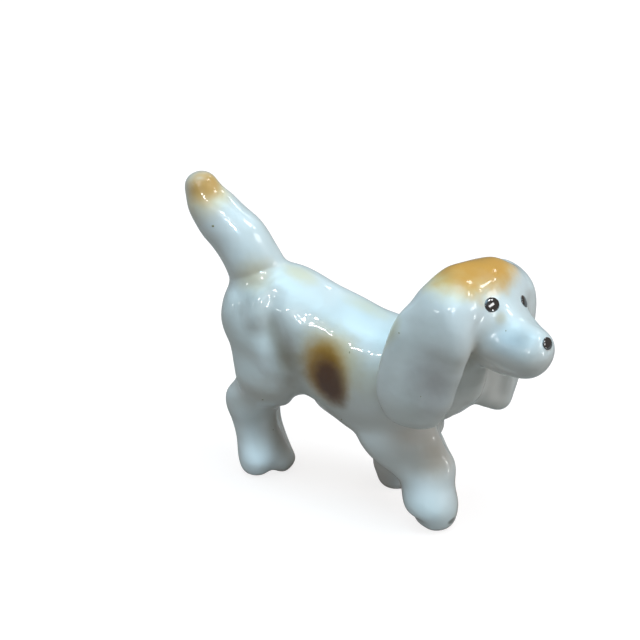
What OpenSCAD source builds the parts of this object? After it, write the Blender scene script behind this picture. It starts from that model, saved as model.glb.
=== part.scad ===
// Porcelain dog figurine, standing with its head turned to its right and its tail raised.
// Each part is a smooth sweep through oval sections. The parts were cast one by one, stuck
// together with slip and fired as one, so every part is cut to the face of the one it sits on.
// Frame: +X towards the nose end, +Y to the dog's left, +Z up, feet on z = 0. Millimetres.

/* [Body] */
// Length of the body, from rump to chest
body_length = 48.5; // [44:0.5:58]
// Width of the body at its widest
body_width = 21; // [18:0.5:25]
// Depth of the body, from back to belly
body_depth = 27; // [23:0.5:31]
// Height of the back over the hind feet
back_height = 48.8; // [45:0.5:58]
// How much lower the shoulders are than the rump
back_fall = 7.5; // [0:0.5:11]
// Thickness of the cast wall
wall = 2.6; // [1.8:0.1:4]
// Diameter of the vent hole in the belly
vent_d = 2.4; // [1.5:0.1:4]

/* [Head] */
// Length of the head, from the back of the skull to the end of the muzzle
head_length = 26; // [24:0.5:34]
// Width of the skull
head_width = 18.8; // [16:0.5:23]
// Height of the skull
head_height = 19.4; // [17:0.5:23]
// How far the middle of the skull lies ahead of the chest
head_ahead = 5.5; // [2:0.5:9]
// How far the middle of the skull lies below the top of the back
head_drop = 1; // [-8:0.5:4]
// How far the middle of the skull lies to the dog's right
head_shift = 1; // [0:0.5:3]
// Turn of the head to the dog's right, in degrees
head_turn = 24; // [0:1:40]
// Tilt of the head to the dog's left, in degrees
head_lean = 10; // [-10:1:15]
// Width of the neck
neck_width = 17; // [13:0.5:19]
// Depth of the neck
neck_depth = 18; // [15:0.5:22]

/* [Ears] */
// Length of an ear, from its root to its tip
ear_length = 30.4; // [25:0.5:34]
// Width of an ear, from its front edge to its back edge
ear_width = 15; // [12:0.5:18]
// Thickness of an ear
ear_thickness = 6.4; // [5:0.5:8]

/* [Tail] */
// Length of the tail along its curve
tail_length = 27; // [20:0.5:36]
// Thickness of the tail at its thickest
tail_thickness = 11; // [8:0.5:14]

/* [Legs] */
// Distance from the hind feet to the middle of the front feet
wheelbase = 33.5; // [29:0.5:38]
// How far the right front foot stands ahead of the left one
stride = 10.8; // [2:0.2:16]
// Distance between the two front feet, across the body
front_stance = 11; // [10:0.5:15]
// Distance between the two hind feet, across the body
hind_stance = 4.4; // [3:0.2:8]
// How far the left hind foot stands ahead of the right one
hind_stride = 3.2; // [0:0.2:6]
// Thickness of a front leg at the paw
front_paw_width = 11; // [8:0.5:12]
// Thickness of a hind leg at the paw
hind_paw_width = 7; // [5:0.2:9]

/* [Eyes and nose] */
// Diameter of an eye bead
eye_d = 2.8; // [1.5:0.1:4]
// How far an eye bead stands proud
eye_proud = 0.55; // [0.3:0.05:1]
// Diameter of the nose bead
nose_d = 2.6; // [1.5:0.1:4]
// How far the nose bead stands proud
nose_proud = 0.6; // [0.3:0.05:1]

/* [Hidden] */

ACROSS_BODY = [0, 1, 0];
AHEAD = [1, 0, 0];
DOWN = [0, 0, -1];
// How far the origin lies ahead of the hind feet, and to the left of the body's middle plane
origin_ahead = 22.5;
origin_left = 0.3;
// Steps of a rounded end
cap_steps = 6;

// The value between rows b and c of a table, a share t of the way, on a smooth curve
function smooth_between(a, b, c, d, t) =
    0.5 * ((2 * b) + (c - a) * t + (2 * a - 5 * b + 4 * c - d) * t ^ 2
        + (3 * b - a - 3 * c + d) * t ^ 3);

// The row at place u along a table, where a whole number is a row itself
function row_at(rows, u) =
    let (
        last = len(rows) - 1,
        i = max(0, min(floor(u), last - 1))
    )
    smooth_between(rows[max(i - 1, 0)], rows[i], rows[i + 1], rows[min(i + 2, last)], u - i);

function centre_of(row) = [row[0], row[1], row[2]];
function unit(v) = v / norm(v);

// A shape is [rows, across, ahead]. A row is [x, y, z, half width, half height up, half height
// down]. Across is the direction of the width. Ahead is the direction that every section faces,
// or false where the sections follow the line through the rows
function heading(shape, u) =
    let (rows = shape[0], step = 0.01, last = len(rows) - 1)
    shape[2] ? shape[2]
        : unit(centre_of(row_at(rows, min(u + step, last))) - centre_of(row_at(rows, max(u - step, 0))));

// One point of the oval section at place u, at an angle from the across direction
function skin_point(shape, u, angle, swell = 1, shift = 0) =
    let (
        row = row_at(shape[0], u),
        ahead = heading(shape, u),
        up = unit(cross(ahead, shape[1])),
        side = cross(up, ahead),
        half_height = sin(angle) >= 0 ? row[4] : row[5]
    )
    centre_of(row) + ahead * shift
        + (side * row[3] * cos(angle) + up * half_height * sin(angle)) * swell;

// Outward direction of the skin there
function skin_normal(shape, u, angle) =
    let (
        du = 0.05,
        turn = 2,
        along = skin_point(shape, u + du, angle) - skin_point(shape, u - du, angle),
        round = skin_point(shape, u, angle + turn) - skin_point(shape, u, angle - turn)
    )
    unit(cross(round, along));

function section(shape, u, sides, swell = 1, shift = 0) =
    [for (k = [0 : sides - 1]) skin_point(shape, u, 360 * k / sides, swell, shift)];

// A closed solid through the rows, with an oval cap of its own length on each end
module sweep(shape, first_cap, last_cap, sides, rings) {
    rows = shape[0];
    last = len(rows) - 1;
    loops = concat(
        [for (j = [1 : cap_steps - 1]) let (a = 90 * j / cap_steps)
            section(shape, 0, sides, sin(a), -first_cap * cos(a))],
        [for (i = [0 : rings]) section(shape, last * i / rings, sides)],
        [for (j = [cap_steps - 1 : -1 : 1]) let (a = 90 * j / cap_steps)
            section(shape, last, sides, sin(a), last_cap * cos(a))]
    );
    count = len(loops);
    first_pole = centre_of(rows[0]) - heading(shape, 0) * first_cap;
    last_pole = centre_of(rows[last]) + heading(shape, last) * last_cap;
    points = concat([first_pole], [for (l = loops) each l], [last_pole]);
    at = function (i, k) 1 + i * sides + k % sides;
    faces = concat(
        [for (k = [0 : sides - 1]) [0, at(0, k), at(0, k + 1)]],
        [for (i = [0 : count - 2], k = [0 : sides - 1]) each [
            [at(i, k), at(i + 1, k + 1), at(i, k + 1)],
            [at(i, k), at(i + 1, k), at(i + 1, k + 1)],
        ]],
        [for (k = [0 : sides - 1]) [count * sides + 1, at(count - 1, k + 1), at(count - 1, k)]]
    );
    polyhedron(points, faces);
}

// Torso: shares of body_length from the rump, of back_fall, of half the width, and of half the
// depth above and below the line of the spine
torso_shares = [
    // along, fall, width, up, down
    [0.01, -0.25, 0.25, 0.21, 0.19],
    [0.03, -0.25, 0.55, 0.49, 0.43],
    [0.08, -0.19, 0.84, 0.77, 0.67],
    [0.17, -0.04, 0.99, 0.97, 0.86],
    [0.31, 0.04, 1, 1, 0.95],
    [0.44, 0.24, 0.95, 0.93, 1.05],
    [0.57, 0.55, 0.95, 0.87, 1.06],
    [0.71, 0.84, 0.98, 0.92, 1.05],
    [0.85, 0.93, 0.91, 0.93, 0.93],
    [0.94, 0.93, 0.69, 0.71, 0.68],
    [0.97, 0.93, 0.4, 0.4, 0.38],
    [0.98, 0.93, 0.17, 0.16, 0.16],
];
body_cap_share = 0.01;
rump_behind_share = 0.16;

function rump_x() = -body_length * rump_behind_share;
// Every row of the inner face lies nearer the middle of the body, in step with its own size
function torso_rows(inset) =
    let (middle = rump_x() + body_length / 2, k = 1 - 2 * inset / body_length)
    [for (s = torso_shares) [
        middle + (rump_x() + s[0] * body_length - middle) * k, 0,
        back_height - body_depth / 2 - s[1] * back_fall,
        s[2] * (body_width / 2 - inset), s[3] * (body_depth / 2 - inset), s[4] * (body_depth / 2 - inset),
    ]];

module torso_form(inset = 0)
    sweep([torso_rows(inset), ACROSS_BODY, AHEAD],
        body_length * body_cap_share, body_length * body_cap_share, 32, 30);

module torso() {
    vent_x = wheelbase / 2;
    color("ghostwhite") difference() {
        torso_form();
        torso_form(wall);
        // Vent that lets the steam out of the hollow body while it is fired
        translate([vent_x, 0, 0]) cylinder(d = vent_d, h = back_height - body_depth / 2, $fn = 48);
    }
}

// Skull and muzzle: shares of head_length ahead of the skull's middle, of half the height for the
// lift of the line, of half the width, and of half the height above and below the line
head_shares = [
    // along, lift, width, up, down
    [-0.35, 0.02, 0.26, 0.27, 0.25],
    [-0.3, 0.02, 0.54, 0.56, 0.51],
    [-0.19, 0.01, 0.85, 0.88, 0.81],
    [-0.04, 0, 0.99, 1.01, 0.97],
    [0.12, -0.05, 0.91, 0.93, 0.99],
    [0.2, -0.15, 0.74, 0.73, 0.93],
    [0.29, -0.31, 0.62, 0.56, 0.78],
    [0.38, -0.45, 0.54, 0.52, 0.61],
    [0.49, -0.49, 0.49, 0.47, 0.5],
    [0.56, -0.48, 0.39, 0.38, 0.38],
    [0.6, -0.47, 0.2, 0.2, 0.2],
];
head_cap_share = 0.02;
// Place of the skull's middle, ahead of the hind feet and above the ground
head_reach = rump_x() + body_length + head_ahead;
head_rise = back_height - head_drop;
head_rows = [for (s = head_shares) [
    s[0] * head_length, 0, s[1] * head_height / 2,
    s[2] * head_width / 2, s[3] * head_height / 2, s[4] * head_height / 2,
]];
skull_shape = [head_rows, ACROSS_BODY, AHEAD];

// Places what is drawn about the skull's middle
module on_head()
    translate([head_reach, -head_shift, head_rise])
        rotate([-head_lean, 0, 0]) rotate([0, 0, -head_turn]) children();

module skull_form()
    on_head() sweep(skull_shape, head_length * head_cap_share, head_length * head_cap_share, 32, 30);

// Neck: from inside the chest to inside the skull. Shares of the way, of neck_depth, and of half
// the width and depth
neck_shares = [
    // way, lift, width, up, down
    [0, -0.03, 1, 0.95, 1.04],
    [0.35, -0.05, 1, 0.95, 1.02],
    [0.7, -0.03, 0.95, 0.9, 0.72],
    [1, 0, 0.8, 0.75, 0.36],
];
// Where the neck starts along the body, and how far under the skull's middle it ends
neck_foot_share = 0.84;
neck_crown_share = 0.3;
neck_cap_share = 0.2;
function neck_rows() =
    let (
        foot = [rump_x() + neck_foot_share * body_length, 0, back_height - body_depth / 2 - back_fall],
        crown = [head_reach, -head_shift, head_rise - head_height * neck_crown_share]
    )
    [for (s = neck_shares) let (c = foot + (crown - foot) * s[0]) [
        c[0], c[1], c[2] + s[1] * neck_depth,
        s[2] * neck_width / 2, s[3] * neck_depth / 2, s[4] * neck_depth / 2,
    ]];

module neck_form()
    sweep([neck_rows(), ACROSS_BODY, false], neck_depth * neck_cap_share, neck_depth * neck_cap_share, 32, 10);

module head_form() {
    skull_form();
    neck_form();
}

module head() color("ghostwhite") difference() {
    head_form();
    torso_form();
}

// Ear, on the head's own axes. Shares of ear_length down and back, of head_width to the side,
// and of half the width and half the thickness
ear_shares = [
    // down, back, side, width, thickness
    [-0.2, 0.07, 0.4, 0.6, 0.75],
    [-0.12, 0.05, 0.53, 0.93, 0.95],
    [0.02, 0.06, 0.59, 1.05, 1.03],
    [0.21, 0.1, 0.62, 1.07, 1],
    [0.4, 0.15, 0.63, 1.07, 0.97],
    [0.56, 0.18, 0.62, 1.03, 0.91],
    [0.68, 0.18, 0.6, 0.8, 0.72],
];
ear_root_cap_share = 0.05;
ear_tip_cap_share = 0.08;
// How far the back edge of an ear stands off the head, in degrees
ear_flare = 22;

function ear_rows(side) = [for (s = ear_shares) [
    -s[1] * ear_length, side * s[2] * head_width, -s[0] * ear_length,
    s[3] * ear_width / 2, s[4] * ear_thickness / 2, s[4] * ear_thickness / 2,
]];

module ear_form(side)
    on_head() sweep([ear_rows(side), [cos(ear_flare), -side * sin(ear_flare), 0], false],
        ear_length * ear_root_cap_share, ear_length * ear_tip_cap_share, 28, 16);

module ear(side) color("ghostwhite") difference() {
    ear_form(side);
    head_form();
    torso_form();
    if (side < 0) front_leg_form(side);
}

// Tail: shares of tail_length back and up from its root in the back, and of half the thickness
tail_shares = [
    // back, up, across, behind, before
    [-0.02, -0.18, 1.02, 1.05, 1.16],
    [0.08, 0.04, 0.98, 0.98, 1.16],
    [0.19, 0.23, 0.97, 0.98, 1.15],
    [0.31, 0.38, 0.9, 0.94, 0.95],
    [0.43, 0.5, 0.76, 0.75, 0.75],
    [0.49, 0.62, 0.58, 0.58, 0.58],
];
tail_root_height_share = 0.96;
tail_root_cap_share = 0.2;
tail_tip_cap_share = 0.26;
tail_rows = [for (s = tail_shares) [
    -s[0] * tail_length, 0, back_height * tail_root_height_share + s[1] * tail_length,
    s[2] * tail_thickness / 2, s[3] * tail_thickness / 2, s[4] * tail_thickness / 2,
]];

module tail_form()
    sweep([tail_rows, ACROSS_BODY, false],
        tail_thickness * tail_root_cap_share, tail_thickness * tail_tip_cap_share, 28, 18);

module tail() color("ghostwhite") difference() {
    tail_form();
    torso_form();
}

// Legs: the last section of a leg lies this share of half the paw's width above the ground, and
// the end below it is rounded to this share of half the paw's width, then ground flat
sole_rise_share = 0.5;
sole_cap_share = 0.72;
leg_top_cap_share = 0.6;

// Grinds the sole flat
module sole_cut() difference() {
    children();
    translate([-body_length, -body_length, -body_length])
        cube([3 * body_length, 2 * body_length, body_length]);
}

// Front leg: shares of the way down from the shoulder to the sole and ahead from it to the foot,
// of half the stance, and of half the paw's width
front_leg_shares = [
    // way down, way ahead, side, width, front, back
    [0.04, 0.2, 0.7, 0.95, 1.16, 1.56],
    [0.28, 0.37, 0.85, 1.04, 1.31, 2.11],
    [0.44, 0.47, 0.9, 1.02, 1.44, 1.93],
    [0.56, 0.69, 0.94, 1, 1.25, 1.6],
    [0.65, 0.85, 0.97, 0.96, 1.02, 1.13],
    [0.77, 0.93, 1, 0.96, 0.98, 0.98],
    [0.9, 1.03, 1, 0.99, 0.98, 0.96],
    [1, 1.1, 1, 0.86, 0.86, 0.74],
];
shoulder_height_share = 0.53;
shoulder_along_share = 0.81;

function shoulder_height() = back_height * shoulder_height_share;
function shoulder_x() = rump_x() + body_length * shoulder_along_share;
function front_foot_x(side) = wheelbase - side * stride / 2;
function front_leg_rows(side) = [for (s = front_leg_shares) let (r = front_paw_width / 2) [
    shoulder_x() + (front_foot_x(side) - shoulder_x()) * s[1], side * front_stance / 2 * s[2],
    shoulder_height() + (r * sole_rise_share - shoulder_height()) * s[0],
    s[3] * r, s[4] * r, s[5] * r,
]];

module front_leg_form(side)
    sole_cut() sweep([front_leg_rows(side), ACROSS_BODY, DOWN],
        front_paw_width / 2 * leg_top_cap_share, front_paw_width / 2 * sole_cap_share, 28, 18);

module front_leg(side) color("ghostwhite") difference() {
    front_leg_form(side);
    torso_form();
    head_form();
}

// Hind leg: shares of the way down from the hip to the sole, of hind_stride, of half the paw's
// width behind the line of the foot, of half the stance, and of half the paw's width
hind_leg_shares = [
    // way down, stride, behind, side, width, front, back
    [0.07, 0.2, -0.55, 1.7, 1.37, 2.06, 2.1],
    [0.2, 0.2, -0.78, 1.9, 1.49, 2.23, 2.25],
    [0.31, 0.3, -0.77, 1.85, 1.4, 2, 1.92],
    [0.39, 0.3, -0.25, 1.7, 1.31, 1.77, 1.49],
    [0.47, 0.4, 0.27, 1.45, 1.2, 1.37, 1.51],
    [0.58, 0.5, 0.57, 1.2, 1.06, 0.97, 1.11],
    [0.7, 0.7, 0.42, 1, 0.97, 0.86, 0.91],
    [0.81, 0.9, 0.16, 1, 0.97, 0.89, 0.91],
    [0.91, 1, -0.03, 1, 1, 1.06, 1.03],
    [1, 1, -0.06, 1, 0.91, 0.97, 0.91],
];
hip_height_share = 0.66;

function hip_height() = back_height * hip_height_share;
function hind_leg_rows(side) = [for (s = hind_leg_shares) let (r = hind_paw_width / 2) [
    side * hind_stride / 2 * s[1] - s[2] * r, side * hind_stance / 2 * s[3],
    hip_height() + (r * sole_rise_share - hip_height()) * s[0],
    s[4] * r, s[5] * r, s[6] * r,
]];

module hind_leg_form(side)
    sole_cut() sweep([hind_leg_rows(side), ACROSS_BODY, DOWN],
        hind_paw_width / 2 * leg_top_cap_share, hind_paw_width / 2 * sole_cap_share, 28, 20);

module hind_leg(side) color("ghostwhite") difference() {
    hind_leg_form(side);
    torso_form();
    if (side > 0) hind_leg_form(-side);
}

// Bead of black enamel on the skull, at a share of the way along its rows and at an angle round
// the section. It is a ball sunk so deep that only its cap of diameter d stands proud
module bead(along_share, angle, d, proud) {
    r = (d ^ 2 / 4 + proud ^ 2) / (2 * proud);
    u = along_share * (len(head_rows) - 1);
    place = skin_point(skull_shape, u, angle);
    out = skin_normal(skull_shape, u, angle);
    color("black") difference() {
        on_head() translate(place + out * (proud - r)) sphere(r = r, $fn = 48);
        head_form();
    }
}

// How far along the head the beads sit, and the angle of an eye above the side of the head
eye_along_share = 0.5;
eye_angle = 46;
nose_along_share = 0.955;

module eye(side) bead(eye_along_share, 90 - side * (90 - eye_angle), eye_d, eye_proud);

module nose() bead(nose_along_share, 90, nose_d, nose_proud);

module placed() translate([-origin_ahead, -origin_left, 0]) children();

placed() torso();
placed() head();
placed() ear(-1);  // right_ear
placed() ear(1);  // left_ear
placed() tail();
placed() front_leg(-1);  // front_right_leg
placed() front_leg(1);  // front_left_leg
placed() hind_leg(-1);  // hind_right_leg
placed() hind_leg(1);  // hind_left_leg
placed() eye(-1);  // right_eye
placed() eye(1);  // left_eye
placed() nose();
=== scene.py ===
"""Looks of a porcelain dog figurine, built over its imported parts.

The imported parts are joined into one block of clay. Rolls and strokes of the modelling tool shape it,
slip fills its joints, and the glazed skin is cut apart again along the joints, so that every part has
a piece of its own. Coordinates in this file are millimetres in the frame of the part unless they say
otherwise: +X to the nose end, +Y to the dog's left, +Z up.
"""

import logging
import math
from dataclasses import dataclass, field
from enum import Enum

import bpy
import numpy as np
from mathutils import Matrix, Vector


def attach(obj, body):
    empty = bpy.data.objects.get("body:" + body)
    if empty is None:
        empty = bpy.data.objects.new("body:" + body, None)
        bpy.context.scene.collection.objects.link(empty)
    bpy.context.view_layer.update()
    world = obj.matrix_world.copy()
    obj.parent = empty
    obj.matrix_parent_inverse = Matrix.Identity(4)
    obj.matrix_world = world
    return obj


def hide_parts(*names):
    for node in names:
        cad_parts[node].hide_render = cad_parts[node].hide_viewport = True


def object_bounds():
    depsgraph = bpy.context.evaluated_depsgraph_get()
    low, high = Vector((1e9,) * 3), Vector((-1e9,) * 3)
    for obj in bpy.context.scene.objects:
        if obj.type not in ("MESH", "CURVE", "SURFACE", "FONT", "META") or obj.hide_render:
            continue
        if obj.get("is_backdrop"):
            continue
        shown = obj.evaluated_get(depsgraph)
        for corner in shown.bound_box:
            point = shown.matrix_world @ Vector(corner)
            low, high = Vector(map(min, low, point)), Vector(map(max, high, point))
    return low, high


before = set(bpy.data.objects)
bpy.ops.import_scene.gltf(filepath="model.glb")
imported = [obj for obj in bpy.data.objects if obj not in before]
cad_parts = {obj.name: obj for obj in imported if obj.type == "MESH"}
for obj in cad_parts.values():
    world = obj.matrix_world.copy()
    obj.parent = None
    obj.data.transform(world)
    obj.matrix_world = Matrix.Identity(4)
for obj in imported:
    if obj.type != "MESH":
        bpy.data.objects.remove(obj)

import openvdb
from mathutils import Vector
from mathutils.bvhtree import BVHTree

log = logging.getLogger("porcelain_dog")

MM = 0.001
CAD_BOX = [list(corner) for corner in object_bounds()]
Point = tuple[float, float, float]
Line = tuple[Point, ...]
Socket = bpy.types.NodeSocket
Tree = bpy.types.NodeTree


class Falls(Enum):
    """What a lamp is for."""

    EVERYWHERE = "light and highlight"
    BODY = "light alone"
    GLAZE = "highlight alone"


def linear(hex_colour: str) -> tuple[float, float, float, float]:
    """Turns a written colour into the numbers that a shader takes.

    Args:
        hex_colour: sRGB colour as "#rrggbb".

    Returns:
        Linear red, green and blue, and an alpha of one.
    """
    values = [int(hex_colour[i:i + 2], 16) / 255 for i in (1, 3, 5)]
    return tuple(v / 12.92 if v <= 0.04045 else ((v + 0.055) / 1.055) ** 2.4 for v in values) + (1.0,)


def put(name: str, data: bpy.types.ID) -> bpy.types.Object:
    """Puts a new object into the scene.

    Args:
        name: name of the object.
        data: its data.

    Returns:
        The object.
    """
    made = bpy.data.objects.new(name, data)
    bpy.context.scene.collection.objects.link(made)
    return made


def put_facing(name: str, data: bpy.types.ID, centre: Point, out: Vector, away: float) -> bpy.types.Object:
    """Puts a lamp or the camera at a distance from a point and turns it to the point.

    Args:
        name: name of the object.
        data: its data.
        centre: the point.
        out: direction from the point to the object.
        away: distance between them.

    Returns:
        The object.
    """
    made = put(name, data)
    made.location = (Vector(centre) + out * away) * MM
    made.rotation_euler = out.to_track_quat("Z", "Y").to_euler()
    return made


def line_distance(path: Line, places: np.ndarray, radii: tuple[float, ...] = ()) -> np.ndarray:
    """Measures how far places lie outside a line, or outside a roll along it.

    Args:
        path: the line's points.
        places: array of points, with the coordinates last.
        radii: radius of the roll at each of the line's points.

    Returns:
        Distance of each place, below zero inside the roll.
    """
    knots = np.array(path, float)
    radii = radii or (0.0,) * len(path)
    if len(knots) == 1:
        return np.linalg.norm(places - knots[0], axis=-1) - radii[0]
    best = np.full(places.shape[:-1], np.inf)
    for i, (start, end) in enumerate(zip(knots[:-1], knots[1:])):
        run = end - start
        share = np.clip(((places - start) @ run) / (run @ run), 0, 1)
        radius = radii[i] * (1 - share) + radii[i + 1] * share
        away = np.linalg.norm(places - start - share[..., None] * run, axis=-1)
        best = np.minimum(best, away - radius)
    return best


@dataclass(frozen=True)
class Stroke:
    """One stroke of the modelling tool along a line on the surface."""

    path: Line
    reach: float
    height: float

    def lift(self, places: np.ndarray) -> np.ndarray:
        """Says how far the stroke moves the surface outwards at each of some places."""
        share = np.clip(1 - line_distance(self.path, places) / self.reach, 0, 1)
        return self.height * (share * share * (3 - 2 * share))


class Fillet(Stroke):
    """Slip laid into a joint. Its height is the share of the corner that it fills."""


@dataclass(frozen=True)
class Roll:
    """A roll of clay laid along a line and rubbed in, or one pressed out and taken away."""

    path: Line
    radii: tuple[float, ...]
    blend: float
    taken: bool = False


def part_mesh(name: str) -> tuple[np.ndarray, np.ndarray]:
    """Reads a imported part's triangles.

    Args:
        name: name of the part.

    Returns:
        Corner points and triangles.
    """
    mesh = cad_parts[name].data
    points = np.empty(len(mesh.vertices) * 3, np.float32)
    mesh.vertices.foreach_get("co", points)
    mesh.calc_loop_triangles()
    corners = np.empty(len(mesh.loop_triangles) * 3, np.int32)
    mesh.loop_triangles.foreach_get("vertices", corners)
    return points.reshape(-1, 3) / MM, corners.reshape(-1, 3)


def outer_wall(points: np.ndarray, triangles: np.ndarray) -> tuple[np.ndarray, np.ndarray]:
    """Leaves only the outside of a hollow part, with its vent hole closed.

    A triangle belongs to the outside if nothing of the part lies beyond it.

    Args:
        points: corner points of the part.
        triangles: its triangles.

    Returns:
        Points and triangles of the closed outside.
    """
    clear, weld_digits = 0.02, 3
    keys, back = np.unique(points.round(weld_digits), axis=0, return_inverse=True)
    triangles = back.reshape(-1)[triangles]
    tree = BVHTree.FromPolygons([Vector(p) for p in keys.tolist()], triangles.tolist())
    a, b, c = (keys[triangles[:, i]].astype(float) for i in range(3))
    normals = np.cross(b - a, c - a)
    normals /= np.maximum(np.linalg.norm(normals, axis=1), 1e-9)[:, None]
    starts = (a + b + c) / 3 + normals * clear
    outside = [tree.ray_cast(Vector(s), Vector(n))[0] is None for s, n in zip(starts, normals)]
    kept = triangles[np.array(outside)]
    rim = {}
    for x, y, z in kept.tolist():
        for edge in ((x, y), (y, z), (z, x)):
            if rim.pop(edge[::-1], None) is None:
                rim[edge] = True
    # The rim of the vent is closed with a fan of triangles
    centre = keys[[v for edge in rim for v in edge]].mean(axis=0) if rim else keys[0]
    fan = [(end, start, len(keys)) for start, end in rim]
    return np.vstack([keys, centre]), np.array(kept.tolist() + fan)


@dataclass
class Clay:
    """The figure as a block of distances to its surface, which the tools work on."""

    cell: float = 0.3
    band: float = 8.0
    margin: float = 6.0
    low: np.ndarray = field(init=False)
    depth: np.ndarray = field(init=False)
    hollow: np.ndarray = field(init=False)
    parts: dict[str, np.ndarray] = field(default_factory=dict)

    def load(self, names: list[str], hollow_part: str) -> None:
        """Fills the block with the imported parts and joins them.

        Args:
            names: parts to join.
            hollow_part: the one of them that is hollow.
        """
        box = np.array(CAD_BOX) / MM
        self.low = np.floor((box[0] - self.margin) / self.cell).astype(int)
        shape = np.ceil((box[1] + self.margin) / self.cell).astype(int) - self.low
        shape += shape % 2
        for name in names:
            points, triangles = part_mesh(name)
            if name == hollow_part:
                points, triangles = outer_wall(points, triangles)
            grid = openvdb.FloatGrid.createLevelSetFromPolygons(
                np.ascontiguousarray(points, np.float32),
                triangles=np.ascontiguousarray(triangles, np.uint32),
                transform=openvdb.createLinearTransform(voxelSize=self.cell),
                halfWidth=self.band / self.cell,
            )
            self.parts[name] = np.empty(tuple(shape), np.float32)
            grid.copyToArray(self.parts[name], ijk=tuple(self.low.tolist()))
        self.depth = np.minimum.reduce(list(self.parts.values()))

    def window(self, path: Line, reach: float) -> tuple[tuple, np.ndarray]:
        """Finds the cells round a line.

        Args:
            path: the line's points.
            reach: how far the cells may lie from them.

        Returns:
            Slices of the block, and the places of its cells.
        """
        knots = np.array(path, float)
        first = np.floor((knots.min(axis=0) - reach) / self.cell).astype(int) - self.low
        last = np.ceil((knots.max(axis=0) + reach) / self.cell).astype(int) - self.low + 1
        first, last = (np.clip(end, 0, self.depth.shape) for end in (first, last))
        axes = [(np.arange(first[i], last[i]) + self.low[i]) * self.cell for i in range(3)]
        places = np.stack(np.meshgrid(*axes, indexing="ij"), axis=-1)
        return tuple(slice(first[i], last[i]) for i in range(3)), places

    def lay(self, rolls: list[Roll]) -> None:
        """Lays rolls of clay on the block and rubs them in.

        Args:
            rolls: the rolls, in the order in which they are laid.
        """
        for roll in rolls:
            cells, places = self.window(roll.path, max(roll.radii) + self.band)
            sign = -1 if roll.taken else 1
            own = line_distance(roll.path, places, roll.radii).astype(np.float32)
            under = self.depth[cells] * sign
            near = np.maximum(roll.blend - np.abs(own - under), 0) / roll.blend
            self.depth[cells] = sign * (np.minimum(own, under) - near * near * roll.blend / 4)

    def apply(self, strokes: list[Stroke]) -> None:
        """Works some strokes of the modelling tool into the clay.

        Args:
            strokes: the strokes.
        """
        for stroke in strokes:
            cells, places = self.window(stroke.path, stroke.reach)
            self.depth[cells] -= stroke.lift(places).astype(np.float32)

    def softened(self, spectrum: np.ndarray, spread: float) -> np.ndarray:
        """Smooths the block without shrinking its round forms.

        Args:
            spectrum: Fourier transform of the block.
            spread: width of the smoothing.

        Returns:
            The smoothed block.
        """
        shape = self.depth.shape
        waves = [np.fft.fftfreq(n, self.cell) for n in shape[:2]] + [np.fft.rfftfreq(shape[2], self.cell)]
        bells = [np.exp(-2 * (math.pi * w * spread) ** 2) for w in waves]
        bell = bells[0][:, None, None] * bells[1][None, :, None] * bells[2][None, None, :]
        return np.fft.irfftn(spectrum * (2 * bell - bell * bell), shape).astype(np.float32)

    def smooth_joints(self, fillets: list[Fillet], fine: float, broad: float) -> None:
        """Takes the facets off the clay and fills its joints with slip.

        Args:
            fillets: places where slip is laid.
            fine: width of the smoothing all over.
            broad: width of the smoothing that the slip follows.
        """
        spectrum = np.fft.rfftn(self.depth)
        even = self.softened(spectrum, fine)
        self.hollow = even - self.softened(spectrum, broad)
        amount = np.zeros_like(even)
        for fillet in fillets:
            cells, places = self.window(fillet.path, fillet.reach)
            amount[cells] = np.maximum(amount[cells], fillet.lift(places))
        blend = 0.25
        gain = 0.5 * (self.hollow + np.sqrt(self.hollow ** 2 + blend ** 2)) - blend / 2
        self.depth = even - amount * np.maximum(gain, 0)

    def cut_flat(self, height: float) -> None:
        """Grinds away what lies below a height, and leaves a slightly rounded edge.

        Args:
            height: height of the flat sole.
        """
        z = (np.arange(self.depth.shape[2]) + self.low[2]) * self.cell
        floor = (height - z).astype(np.float32)[None, None, :]
        round_edge = 0.5
        both = np.maximum(round_edge - np.abs(self.depth - floor), 0) / round_edge
        self.depth = np.maximum(self.depth, floor) + both * both * round_edge / 4

    def read(self, block: np.ndarray, places: np.ndarray) -> np.ndarray:
        """Reads a block between its cells.

        Args:
            block: values, one for each cell.
            places: points in the block.

        Returns:
            Value at each point.
        """
        just_inside = 1.001
        at = np.clip(places / self.cell - self.low, 0, np.array(block.shape) - just_inside)
        base = np.floor(at).astype(int)
        share = (at - base).astype(np.float32)
        total = 0
        for corner in np.ndindex(2, 2, 2):
            x, y, z = (share[:, i] if corner[i] else 1 - share[:, i] for i in range(3))
            total = total + x * y * z * block[tuple((base + corner).T)]
        return total

    def slope(self, places: np.ndarray) -> np.ndarray:
        """Finds the outward direction and steepness of the block at some points.

        Args:
            places: the points.

        Returns:
            Direction at each point, as long as the block is steep there.
        """
        steps = np.eye(3) * self.cell
        rises = [self.read(self.depth, places + s) - self.read(self.depth, places - s) for s in steps]
        return np.stack(rises, axis=-1) / (2 * self.cell)

    def settle(self, places: np.ndarray, rounds: int) -> np.ndarray:
        """Moves points onto the surface along its slope.

        Args:
            places: the points.
            rounds: how often they are moved.

        Returns:
            The moved points.
        """
        least_steep = 0.05
        for _ in range(rounds):
            slope = self.slope(places)
            steep = np.maximum((slope ** 2).sum(axis=1), least_steep)
            places = places - slope * (self.read(self.depth, places) / steep)[:, None]
        return places

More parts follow.
